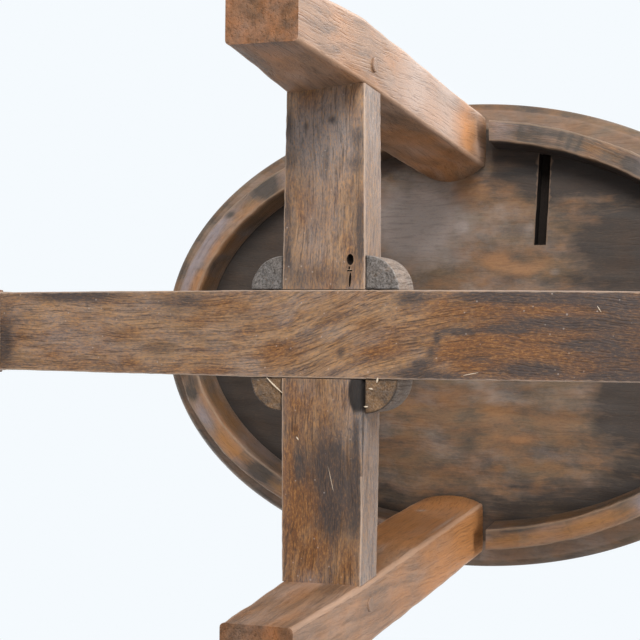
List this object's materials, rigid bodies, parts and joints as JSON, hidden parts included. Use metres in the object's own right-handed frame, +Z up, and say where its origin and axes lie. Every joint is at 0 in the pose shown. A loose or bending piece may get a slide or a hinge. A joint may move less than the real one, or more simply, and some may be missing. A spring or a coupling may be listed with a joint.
{
  "type": "saddle stool",
  "caption": "Low wooden stool: oval seat with a saddle-shaped top and a hollow below inside an apron, on splayed legs tied by a half-lapped cross of stretchers.",
  "frame": {"origin": "on the floor, under the middle of the stool", "axes": "+X along the oval seat, +Z up; the end of the groove in the underside lies towards -Y"},
  "size_m": [0.484, 0.335, 0.3801],
  "materials": {
    "seat_wood": "worn oiled hardwood, dark brown",
    "apron_wood": "hand-cut hardwood, worn brown with a grey bloom",
    "leg_wood": "worn oiled hardwood, orange brown",
    "stretcher_wood": "worn oiled hardwood, mid brown",
    "end_grain": "bare end grain, grey brown",
    "peg_wood": "oiled hardwood pegs and wedges"
  },
  "bodies": {
    "root": {"seat_board": "seat_wood", "apron_front_left": "apron_wood", "apron_front_right": "apron_wood", "apron_back_left": "apron_wood", "apron_back_right": "apron_wood", "leg_right": "leg_wood", "leg_back": "leg_wood", "leg_left": "leg_wood", "leg_front": "leg_wood", "stretcher_long": "stretcher_wood", "stretcher_short": "stretcher_wood", "boss_block_front_left": "end_grain", "boss_block_front_right": "end_grain", "boss_block_back_left": "end_grain", "boss_block_back_right": "end_grain", "leg_wedge_right": "peg_wood", "leg_wedge_back": "peg_wood", "leg_wedge_left": "peg_wood", "leg_wedge_front": "peg_wood", "stretcher_peg_right": "peg_wood", "stretcher_peg_back": "peg_wood", "stretcher_peg_left": "peg_wood", "stretcher_peg_front": "peg_wood"}
  },
  "joints": []
}
